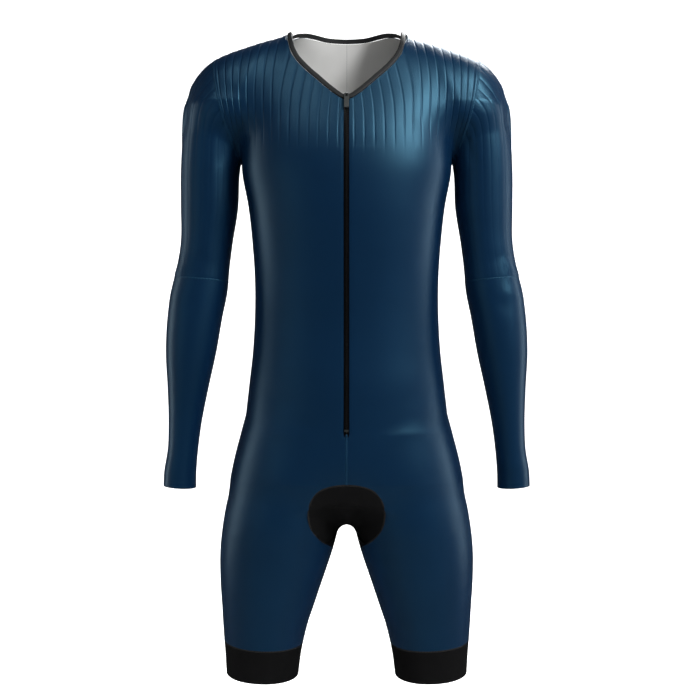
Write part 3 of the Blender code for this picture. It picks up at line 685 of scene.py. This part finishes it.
def upper_sleeve_net():
    ends = []
    for number, (height, tilt) in enumerate(SLEEVE_CUTS, start=1):
        ends.append((*sleeve_end(height * MM, math.radians(tilt)),
                     RIB_BOW * max(0, 1 - number / 4)))
    front, back = (armhole(side, SLEEVE_COLUMNS) for side in (FRONT, BACK))
    top = np.concatenate((front[:-1], back[:0:-1]))
    return np.concatenate((top[None], ring_net(arms, ends, SLEEVE_COLUMNS)))


def forearm_net():
    ends = [(*sleeve_end(height, FOREARM_TILT), 0)
            for height in np.linspace(ELBOW, CUFF, FOREARM_ROWS + 1)]
    return ring_net(arms, ends, RING_COLUMNS)


def band_net():
    inner, outer = (np.linspace(BAND_TOP[end], BAND_HEM[end], BAND_ROWS + 1) for end in (0, 1))
    return ring_net(body, [(inseam_point(a), side_point(b), 0) for a, b in zip(inner, outer)],
                    RING_COLUMNS)


def insert_net():
    """Rings of the insert from its edge to its middle, with its left and right halves."""
    quarter = np.linspace(0, 1, INSERT_SEGMENTS + 1)
    edge = [section_at(INSERT_EDGE, np.array(share)) for share in quarter]
    front = [(width, turn - 90) for width, turn in edge]
    back = [(width, -turn) for width, turn in front[::-1]][1:]
    half = front + back
    outline = np.array(half + [(-width, turn) for width, turn in half[-2:0:-1]])
    return np.array([[insert_point(width * MM, 90 + turn) for width, turn in outline * share]
                     for share in INSERT_RINGS])


def grid_normals(points, closed):
    """Normals of a grid, from the lines through it. They face away from the figure."""
    if closed:
        wrapped = np.concatenate((points[:, -1:], points, points[:, :1]), axis=1)
        across = np.gradient(wrapped, axis=1)[:, 1:-1]
    else:
        across = np.gradient(points, axis=1)
    facing = np.cross(across, np.gradient(points, axis=0))
    facing /= np.maximum(np.linalg.norm(facing, axis=-1, keepdims=True), 1e-12)
    middle = points[len(points) // 2, points.shape[1] // 4]
    wanted = normals(arms if closed and middle[0] > ARM_SIDE else body, middle[None])[0]
    return facing * np.sign(np.dot(facing[len(points) // 2, points.shape[1] // 4], wanted))


def seamed(points, closed, edges=(0, -1)):
    """A grid with its seamed edges pulled in by half the space between two pieces."""
    points = points.copy()
    lines = [points] if closed else [points, points.swapaxes(0, 1)]
    for number, line in enumerate(lines):
        for edge in edges if number == 0 else (0, -1):
            inward = line[edge + 1 if edge == 0 else edge - 1] - line[edge]
            length = np.maximum(np.linalg.norm(inward, axis=-1, keepdims=True), 1e-9)
            line[edge] += inward / length * np.minimum(SEAM / 2, length / 2)
    return points


def fine_tube(surface, knots, fine, edges=(0,)):
    """Fine closed grid through rings of knots, and its normals."""
    wide = spread_ring(knots.swapaxes(0, 1), fine[1]).swapaxes(0, 1)
    points = seamed(settled(surface, spread(wide, fine[0])), closed=True, edges=edges)
    return points, grid_normals(points, closed=True)


# ---------------- relief

def soft_step(value):
    value = np.clip(value, 0, 1)
    return value * value * (3 - 2 * value)


def rib_groove(columns):
    """1 along the middle of the narrow grooves between ribs, which are at odd columns."""
    phase = np.abs(columns % 2 - 1)
    return 1 - soft_step(phase / GROOVE_HALF)


def rib_crown(columns):
    """Each rib is slightly round: 1 in its middle and 0 at the grooves."""
    return np.cos(math.pi / 2 * (1 - np.abs(columns % 2 - 1))) ** 2


def fold_field(points, folds):
    """Soft troughs and ridges along straight lines in the front or back view."""
    total = np.zeros(points.shape[:-1])
    flat = np.stack((np.abs(points[..., 0]), points[..., 2]), axis=-1) / MM
    for side, x0, z0, x1, z1, width, height in folds:
        start, end = np.array((x0, z0), float), np.array((x1, z1), float)
        along = end - start
        share = np.clip(((flat - start) @ along) / np.dot(along, along), 0, 1)
        distance = np.linalg.norm(flat - start - share[..., None] * along, axis=-1)
        ends = np.sqrt(np.maximum(np.sin(math.pi * np.clip(share, 0.02, 0.98)), 0))
        facing = soft_step(0.5 - side * -points[..., 1] / (40 * MM)) if side else 1
        total += height * MM * np.exp(-(distance / width) ** 2) * ends * facing
    return total


# ---------------- meshes

def new_object(name, points, faces, uvs, slots, materials):
    data = bpy.data.meshes.new(name)
    data.from_pydata(points.tolist(), [], faces)
    layer = data.uv_layers.new(name="UVMap")
    layer.data.foreach_set("uv", np.array(uvs, np.float32).ravel())
    data.polygons.foreach_set("material_index", np.array(slots, np.int32))
    for material in materials:
        data.materials.append(material)
    data.shade_smooth()
    data.set_sharp_from_angle(angle=SHARP)
    item = bpy.data.objects.new(name, data)
    bpy.context.scene.collection.objects.link(item)
    return item


def grid_faces(rows, columns, closed, first):
    """Quads of a grid as corner numbers, and the corners' places in the grid."""
    wide = columns if closed else columns - 1
    row, column = (a.ravel() for a in np.mgrid[0:rows - 1, 0:wide])
    corners = np.stack(((row, column), (row, column + 1), (row + 1, column + 1),
                        (row + 1, column)), axis=0)
    places = corners.transpose(2, 0, 1)
    numbers = first + places[..., 0] * columns + places[..., 1] % columns
    return numbers, places


def shell(name, points, facing, outer, inner, closed=False, capped=False, mirrored=False,
          steps=(1, 1), size=(MM, MM), materials=()):
    """Closed thin shell: a fine outer face, and an inner face through some of its points.

    outer and inner are heights of the two faces over the grid, and steps says how many fine
    rows and columns there are to one of the inner face.
    """
    rows, columns = points.shape[:2]
    outside = points + facing * outer[..., None]
    kept_rows, kept_columns = np.arange(0, rows, steps[0]), np.arange(0, columns, steps[1])
    inside = (points + facing * inner[..., None])[np.ix_(kept_rows, kept_columns)]
    all_points = np.concatenate((outside.reshape(-1, 3), inside.reshape(-1, 3)))
    faces, places = grid_faces(rows, columns, closed, 0)
    base = rows * columns
    few = len(kept_columns)
    back_faces, back_places = grid_faces(len(kept_rows), few, closed, base)
    faces, uvs = faces.tolist(), [places.reshape(-1, 2) * (1, 1)]
    slots = [0] * len(faces)
    faces += back_faces[:, ::-1].tolist()
    uvs.append(back_places[:, ::-1].reshape(-1, 2) * steps)
    slots += [1] * len(back_faces)

    def add(ring, slot):
        faces.append(ring)
        slots.append(slot)
        uvs.append(np.zeros((len(ring), 2)))

    def rim(line, kept, corner):
        """Faces along one edge, between all its outer points and the kept inner ones."""
        for number in range(len(kept) - 1):
            a, b = kept[number], kept[number + 1]
            add(line[a:b + 1] + [corner(number + 1), corner(number)], 0)

    for row in (0,) if capped else (0, rows - 1):
        line = [row * columns + column % columns for column in
                range(columns + 1 if closed else columns)]
        kept = list(kept_columns) + ([columns] if closed else [])
        start = base + (row // steps[0]) * few
        rim(line, kept, lambda number, start=start: start + number % few)
    if not closed:
        for column in (0, columns - 1):
            line = [row * columns + column for row in range(rows)]
            rim(line, list(kept_rows),
                lambda number, column=column: base + number * few + column // steps[1])
    if capped:
        add([(rows - 1) * columns + column for column in range(columns)], 0)
        add([base + (len(kept_rows) - 1) * few + column for column in range(few)], 1)
    if mirrored:
        all_points = all_points * (-1, 1, 1)
    uvs = np.concatenate(uvs)[:, ::-1] * size[::-1]
    item = new_object(name, all_points, faces, uvs, slots, materials)
    return outward(item)


def outward(item):
    """The object with all its faces turned out."""
    mesh = bmesh.new()
    mesh.from_mesh(item.data)
    bmesh.ops.recalc_face_normals(mesh, faces=mesh.faces)
    mesh.to_mesh(item.data)
    mesh.free()
    return item


def strip(name, points, facing, profile, material, closed=False, mirrored=False):
    """Raised band along a line on the cloth, closed all round; profile is (across, height)."""
    points, facing = np.asarray(points), np.asarray(facing)
    if closed:
        wrapped = np.concatenate((points[-1:], points, points[:1]))
        tangents = np.gradient(wrapped, axis=0)[1:-1]
    else:
        tangents = np.gradient(points, axis=0)
    tangents /= np.linalg.norm(tangents, axis=1, keepdims=True)
    across = np.cross(tangents, facing)
    across /= np.linalg.norm(across, axis=1, keepdims=True)
    rings = np.stack([points + across * a * MM + facing * h * MM for a, h in profile], axis=1)
    rings *= (-1, 1, 1) if mirrored else (1, 1, 1)
    return tube(name, rings, run_along(points), 1, closed, material)


def run_along(points):
    """Length of a line up to each of its points, and once more round to the first."""
    run = np.concatenate(((0,), np.cumsum(np.linalg.norm(np.diff(points, axis=0), axis=1))))
    return np.append(run, run[-1] + np.linalg.norm(points[0] - points[-1]))


def tube_faces(count, sides, closed=False):
    """Quads between rings of points, and the two ends where it isn't closed to a ring."""
    faces = []
    for number in range(count if closed else count - 1):
        for side in range(sides):
            after, beyond = (number + 1) % count, (side + 1) % sides
            faces.append([number * sides + side, number * sides + beyond,
                          after * sides + beyond, after * sides + side])
    if not closed:
        faces += [[number * sides + side for side in range(sides)] for number in (0, count - 1)]
    return faces


def tube(name, rings, run, step, closed, material):
    """Solid through rings of points. step is the texture's width of one of its sides."""
    count, sides = rings.shape[:2]
    faces = tube_faces(count, sides, closed)
    uvs = [(run[number + ahead], (side + over) * step)
           for number in range(count if closed else count - 1) for side in range(sides)
           for ahead, over in ((0, 0), (0, 1), (1, 1), (1, 0))]
    uvs += [(0, 0)] * (0 if closed else 2 * sides)
    return outward(new_object(name, rings.reshape(-1, 3), faces, uvs, [0] * len(faces),
                              [material]))


# ---------------- materials

def shader_of(material):
    return material.node_tree.nodes["Principled BSDF"]


def new_material(name, colour, roughness, **sockets):
    material = bpy.data.materials.new(name)
    material.use_nodes = True
    shader = shader_of(material)
    shader.inputs["Base Color"].default_value = (*colour, 1)
    shader.inputs["Roughness"].default_value = roughness
    for socket, value in sockets.items():
        shader.inputs[socket.replace("_", " ")].default_value = value
    return material


def node(material, kind, **settings):
    made = material.node_tree.nodes.new(kind)
    for setting, value in settings.items():
        setattr(made, setting, value)
    return made


def link(material, source, target):
    material.node_tree.links.new(source, target)


def link_bump(material, height, depth, strength):
    bump = node(material, "ShaderNodeBump")
    bump.inputs["Distance"].default_value = depth
    bump.inputs["Strength"].default_value = strength
    link(material, height, bump.inputs["Height"])
    link(material, bump.outputs["Normal"], shader_of(material).inputs["Normal"])


def link_colours(material, share, stops):
    """Colour that runs between two stops, each a position and a colour."""
    ramp = node(material, "ShaderNodeValToRGB")
    for element, (position, colour) in zip(ramp.color_ramp.elements, stops):
        element.color = (*colour, 1)
        element.position = position
    link(material, share, ramp.inputs["Fac"])
    link(material, ramp.outputs["Color"], shader_of(material).inputs["Base Color"])


def wave(material, direction, scale):
    """Stripes across the texture places, as a share from 0 to 1."""
    stripes = node(material, "ShaderNodeTexWave", bands_direction=direction)
    stripes.inputs["Scale"].default_value = scale
    places = node(material, "ShaderNodeUVMap", uv_map="UVMap")
    link(material, places.outputs["UV"], stripes.inputs["Vector"])
    return stripes.outputs["Fac"]


def knit(material, pitch, depth, tone):
    """Fine wales and courses of a knit in the height, and a cloud of slightly changing tone in
    the colour.
    """
    both = node(material, "ShaderNodeMath", operation="MULTIPLY")
    for number, (direction, scale) in enumerate((("X", 1.0), ("Y", COURSE_SHARE))):
        link(material, wave(material, direction, scale * WAVE_UNIT / pitch), both.inputs[number])
    link_bump(material, both.outputs[0], depth, KNIT_STRENGTH)
    cloud = node(material, "ShaderNodeTexNoise")
    cloud.inputs["Scale"].default_value = CLOUD_SCALE
    cloud.inputs["Detail"].default_value = CLOUD_DETAIL
    places = node(material, "ShaderNodeTexCoord")
    link(material, places.outputs["Object"], cloud.inputs["Vector"])
    colour = shader_of(material).inputs["Base Color"].default_value[:3]
    shades = [[channel * factor for channel in colour] for factor in (1 - tone, 1 + tone)]
    link_colours(material, cloud.outputs["Fac"], list(zip(CLOUD_RANGE, shades)))
    return material


def stitched(material, low, high):
    """Stitches across a seam band, in its height and colour."""
    stitches = wave(material, "X", WAVE_UNIT / STITCH_PITCH)
    link_colours(material, stitches, ((0, low), (1, high)))
    link_bump(material, stitches, STITCH_DEPTH, STITCH_STRENGTH)
    return material


def make_materials():
    made = {key: knit(new_material(name, colour, roughness, **sockets), *weave)
            for key, name, colour, roughness, sockets, weave in KNITS}
    for key, name, colour, roughness, sockets, low, high in STITCHES:
        made[key] = stitched(new_material(name, colour, roughness, **sockets), low, high)
    return made


# ---------------- cloth pieces

def declare(item, node_name):
    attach(item, SUIT)
    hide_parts(node_name)


def measured(points):
    """Widths of a grid's rows, lengths of its columns, and its area, in metres."""
    across = np.linalg.norm(np.diff(points, axis=1), axis=-1).sum(axis=1)
    along = np.linalg.norm(np.diff(points, axis=0), axis=-1).sum(axis=0)
    sides = (points[1:, :-1] - points[:-1, :-1], points[:-1, 1:] - points[:-1, :-1])
    area = np.linalg.norm(np.cross(*sides), axis=-1).sum()
    return across, along, area


def make_panels(looks):
    for name, side in (("front", FRONT), ("back", BACK)):
        points, rows, columns = fine_panel(side)
        points = seamed(settled(body, points), closed=False)
        facing = grid_normals(points, closed=False)
        true = normals(body, points)
        lost = (np.sum(facing * true, axis=-1) < LOST) & (points[..., 2] < ZIP_END)
        facing[lost] = true[lost]
        folds = fold_field(points, PANEL_FOLDS)
        outer = folds.copy()
        if side == FRONT:
            rise = soft_step((rows + RIB_START) / RIB_RISE)[:, None]
            outer -= RIB_DEPTH * rise * rib_groove(columns)[None, :]
            outer -= CROWN * rise * (1 - rib_crown(columns))[None, :]
        edge = np.minimum(columns, columns[-1] - columns)
        outer -= SEAM_DIP * (1 - soft_step(edge / PANEL_DIP_WIDTH))[None, :]
        pair(looks, name, points, facing, outer, folds - SHOWN_CLOTH, "jersey",
             (1, FINE_COLUMNS[side] // 2), closed=False)


def make_sleeves(looks):
    points, facing = fine_tube(arms, upper_sleeve_net(), SLEEVE_FINE, (0, -1))
    rows, columns = (np.arange(points.shape[axis]) / SLEEVE_FINE[axis] for axis in (0, 1))
    folds = fold_field(points, SLEEVE_FOLDS)
    strength = (SLEEVE_RIB * SLEEVE_RIB_FADE ** rows)[:, None]
    outer = folds - strength * RIB_DEPTH * (rib_groove(columns) + 0.5 - 0.5 * rib_crown(columns))
    edge = np.minimum(rows, rows[-1] - rows)
    outer -= SEAM_DIP * (1 - soft_step(edge / SLEEVE_DIP_WIDTH))[:, None]
    pair(looks, "sleeve_upper", points, facing, outer, folds - SHOWN_CLOTH, "ribbed", (2, 2))

    points, facing = fine_tube(arms, forearm_net(), FOREARM_FINE)
    folds = fold_field(points, FOREARM_FOLDS)
    pair(looks, "sleeve_lower", points, facing, folds, folds - SHOWN_CLOTH, "jersey", (2, 2))


def pair(looks, name, points, facing, outer, inner, slot_name, steps, closed=True):
    """A panel or closed tube of cloth on the left and its mirror image on the right."""
    cut = np.concatenate((points, points[:, :1]), axis=1) if closed else points
    across, along, area = measured(cut)
    for suffix, mirrored in SIDES:
        item = shell(f"{name}_{suffix}_cloth", points, facing, outer, inner, closed=closed,
                     mirrored=mirrored, steps=steps,
                     size=(along.mean() / len(points), across.mean() / points.shape[1]),
                     materials=(looks[slot_name], looks["inside"]))
        declare(item, f"{name}_{suffix}")


def make_bands(looks):
    points, facing = fine_tube(body, band_net(), BAND_FINE)
    rows = np.arange(len(points)) / (len(points) - 1)
    outer = -HEM_DIP * (1 - soft_step(np.abs(rows - HEM_LINE) / HEM_WIDTH))[:, None]
    outer = np.broadcast_to(outer, points.shape[:2]).copy()
    pair(looks, "leg_band", points, facing, outer, outer * 0 - SHOWN_CLOTH, "elastic", (2, 3))


def make_insert(looks):
    points, facing = fine_tube(body, insert_net(), INSERT_FINE)
    outer = np.zeros(points.shape[:2])
    item = shell("crotch_insert_cloth", points, facing, outer, outer - SHOWN_CLOTH, closed=True,
                 capped=True, size=(MM, MM * 2),
                 materials=(looks["insert"], looks["insert"]))
    declare(item, "crotch_insert")


def make_binding(looks):
    front, back = neckline(FRONT)[1], neckline(BACK)[1]
    corner = len(front) - 1
    seam = spread(np.concatenate((front, back[-2::-1])), LINE_FINE, (corner,))
    tangents = np.gradient(seam, axis=0)
    tangents /= np.linalg.norm(tangents, axis=1, keepdims=True)
    opening = np.cross(normals(body, seam), tangents)
    opening *= np.sign(np.sum(opening * (UP - ACROSS), axis=1, keepdims=True))
    columns = []
    for across, height in BINDING_SECTION:
        line = settled(body, seam + opening * across)
        if across > BINDING_SECTION[0, 0]:
            line[0] = settled(body, seam[:1] + UP * across / abs(tangents[0, 0]))[0]
        columns.append(line + normals(body, line) * height)
    sections = np.stack(columns, axis=1)
    sections[0, :, 0] = ZIP_SLIT + SEAM
    sections[-1, :, 0] = 0
    rings = np.concatenate((sections, sections[-2::-1] * (-1, 1, 1)))
    run = run_along(rings[:, BINDING_MIDDLE])
    item = tube("neck_binding_cloth", rings, run, MM, False, looks["binding"])
    declare(item, "neck_binding")


# ---------------- trim

def along(points, closed=False):
    points = np.array(points)
    return spread_ring(points, LINE_FINE) if closed else spread(points, LINE_FINE)


def trim(item):
    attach(item, SUIT)


def make_seams(looks):
    """Flatlock bands over the seams. Paired ones are made on the left and mirrored."""
    lower, fan = panel_net(FRONT)
    back_lower, back_fan = panel_net(BACK)
    elbow = ring_net(arms, [(*sleeve_end(ELBOW, FOREARM_TILT), 0)], RING_COLUMNS)[0]
    middle = LEG_ROWS + INSERT_SEGMENTS
    centre = [row[0] for row in lower[middle:] if row[0][2] < ZIP_END + SEAM]
    centre_back = [row[0] for row in (*back_lower[middle:], *back_fan)]
    for name, knots, surface, closed, paired, look in (
            ("side_seam", [row[-1] for row in lower], body, False, True, "seam"),
            ("inseam", [row[0] for row in lower[:LEG_ROWS + 1]], body, False, True, "seam"),
            ("armhole_seam", upper_sleeve_net()[0], body, True, True, "seam"),
            ("elbow_seam", elbow, arms, True, True, "seam"),
            ("band_seam", band_net()[0], body, True, True, "black_seam"),
            ("shoulder_seam", fan[-1][NECK_COLUMNS[FRONT]:], body, False, True, "seam"),
            ("insert_seam", insert_net()[0], body, True, False, "black_seam"),
            ("centre_front_seam", centre, body, False, False, "seam"),
            ("centre_back_seam", centre_back, body, False, False, "seam")):
        line = along(knots, closed) * (1 if paired or closed else (0, 1, 1))
        facing = smoothed(normals(surface, line), closed)
        for suffix, mirrored in SIDES if paired else (("", False),):
            item = strip(f"{name}_{suffix}".strip("_"), line, facing, SEAM_PROFILE, looks[look],
                         closed=closed, mirrored=mirrored)
            trim(item)


def smoothed(facing, closed):
    """Normals evened out along a line."""
    for _ in range(4):
        if closed:
            facing = np.roll(facing, 1, axis=0) + 2 * facing + np.roll(facing, -1, axis=0)
        else:
            facing = np.concatenate((facing[:1], facing[:-2] + 2 * facing[1:-1] + facing[2:],
                                     facing[-1:]))
        facing /= np.linalg.norm(facing, axis=1, keepdims=True)
    return facing


def make_zip(looks, frame):
    """Coil teeth on the chain, and finishes for the zip's own solids."""
    for name, look in (("zip_tape_left", "tape"), ("zip_tape_right", "tape"),
                       ("zip_slider", "metal"), ("zip_pull", "metal"), ("zip_stop", "metal")):
        repaint(frame["nodes"][name], looks[look])
    heights = np.arange(CHAIN_END + 0.6 * MM, CHAIN_TOP - 0.5 * MM, TOOTH_PITCH)
    middle = cast(body, heights[:, None] * UP, FORWARD)
    facing = normals(body, middle)
    lengthwise = np.cross(ACROSS, facing)
    lengthwise *= np.sign(lengthwise[:, 2:])
    points, faces = [], []
    for number, (point, out, up) in enumerate(zip(middle, facing, lengthwise)):
        side = 1 if number % 2 else -1
        for across, half, low, high in TOOTH:
            centre = point + ACROSS * side * across * MM
            for a, h in ((-half, low), (half, low), (half, high), (-half, high)):
                points.append(centre + up * a * MM + out * h * MM)
        first = number * 4 * len(TOOTH)
        faces += [[first + corner for corner in face] for face in tube_faces(len(TOOTH), 4)]
    uvs = np.zeros((sum(len(face) for face in faces), 2))
    teeth = outward(new_object("zip_teeth", np.array(points), faces, uvs, [0] * len(faces),
                               [looks["coil"]]))
    trim(teeth)
    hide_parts("zip_chain")
    heights = np.linspace(CHAIN_END, CHAIN_TOP, BED_POINTS)
    middle = cast(body, heights[:, None] * UP, FORWARD)
    trim(strip("zip_bed", middle, normals(body, middle), BED_PROFILE, looks["tape"]))


def repaint(item, material):
    item.data.materials.clear()
    item.data.materials.append(material)


# ---------------- stage

def area_light(name, place, aim, size, power):
    data = bpy.data.lights.new(name, "AREA")
    data.shape = "RECTANGLE"
    data.size, data.size_y = size
    data.energy = power
    item = bpy.data.objects.new(name, data)
    bpy.context.scene.collection.objects.link(item)
    item.location = place
    item.rotation_euler = (Vector(aim) - Vector(place)).to_track_quat("-Z", "Y").to_euler()


def make_stage():
    """Pale floor that curves up into a backdrop, soft lights and the camera."""
    start, bend = WALL - WALL_BEND, WALL_BEND
    profile = [(FLOOR_START, FLOOR), (start, FLOOR)]
    profile += [(start + bend * math.sin(math.radians(turn)),
                 FLOOR + bend - bend * math.cos(math.radians(turn))) for turn in range(6, 91, 6)]
    profile.append((WALL, WALL_TOP))
    points = np.array([(x, y, z) for y, z in profile for x in (-WALL_HALF, WALL_HALF)])
    faces = [[2 * n, 2 * n + 1, 2 * n + 3, 2 * n + 2] for n in range(len(profile) - 1)]
    white = new_material("pale_floor", (FLOOR_GREY,) * 3, 0.9, Emission_Strength=FLOOR_GLOW,
                         Emission_Color=(1, 1, 1, 1))
    floor = new_object("floor", points, faces, np.zeros((4 * len(faces), 2)),
                       [0] * len(faces), [white])
    floor.visible_glossy = False
    for light in LIGHTS:
        area_light(*light)
    world = bpy.data.worlds.new("studio")
    world.use_nodes = True
    background = world.node_tree.nodes["Background"]
    background.inputs["Color"].default_value = (1, 1, 1, 1)
    background.inputs["Strength"].default_value = WORLD
    bpy.context.scene.world = world
    data = bpy.data.cameras.new("camera")
    data.sensor_width = SENSOR
    data.lens = SENSOR / 2 * CAMERA_DISTANCE / CAMERA_HALF_VIEW
    camera = bpy.data.objects.new("camera", data)
    bpy.context.scene.collection.objects.link(camera)
    camera.location = (CAMERA_ACROSS, -CAMERA_DISTANCE, CAMERA_HEIGHT)
    camera.rotation_euler = (math.radians(90), 0, 0)
    bpy.context.scene.camera = camera
    bpy.context.scene.view_settings.view_transform = "Standard"


def main():
    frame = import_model()
    make_stage()
    looks = make_materials()
    make_panels(looks)
    make_sleeves(looks)
    make_bands(looks)
    make_insert(looks)
    make_binding(looks)
    make_seams(looks)
    make_zip(looks, frame)


main()
